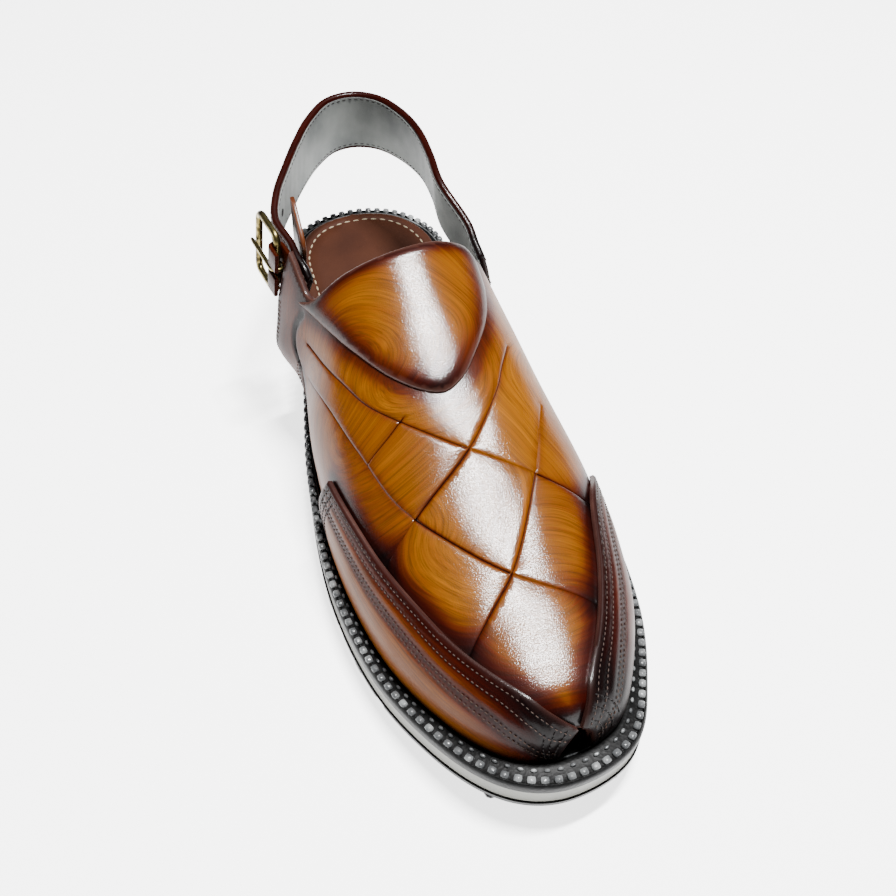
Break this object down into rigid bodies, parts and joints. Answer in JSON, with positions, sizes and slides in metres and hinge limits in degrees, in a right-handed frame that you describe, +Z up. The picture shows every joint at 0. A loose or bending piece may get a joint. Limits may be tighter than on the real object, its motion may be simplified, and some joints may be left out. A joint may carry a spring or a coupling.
{
  "type": "peshawari chappal",
  "caption": "Men's Peshawari chappal for the right foot: woven burnished leather vamp, instep panel, buckled heel strap, and a moulded sole with a studded welt.",
  "frame": {"origin": "middle of the box round the shoe, seen from above, at the floor", "axes": "+Z up, +Y from the toe towards the heel, +X towards the medial side of this right shoe"},
  "size_m": [0.1094, 0.295, 0.0994],
  "materials": {
    "black_rubber": "matte moulded rubber",
    "pale_rubber": "matte pale grey rubber",
    "welt_rubber": "satin black rubber",
    "brown_leather": "smooth brown lining leather",
    "oxblood_leather": "glossy leather, tan burnished to oxblood",
    "tan_leather": "tan leather",
    "antique_brass": "antique brass"
  },
  "bodies": {
    "root": {"outsole": "black_rubber", "midsole": "pale_rubber", "welt": "welt_rubber", "insole": "brown_leather", "upper": "oxblood_leather", "instep_panel": "oxblood_leather", "rand_lateral": "oxblood_leather", "rand_medial": "oxblood_leather", "heel_strap": "oxblood_leather", "buckle_guard": "tan_leather", "buckle_frame": "antique_brass", "buckle_prong": "antique_brass", "buckle_fold": "oxblood_leather"}
  },
  "joints": []
}
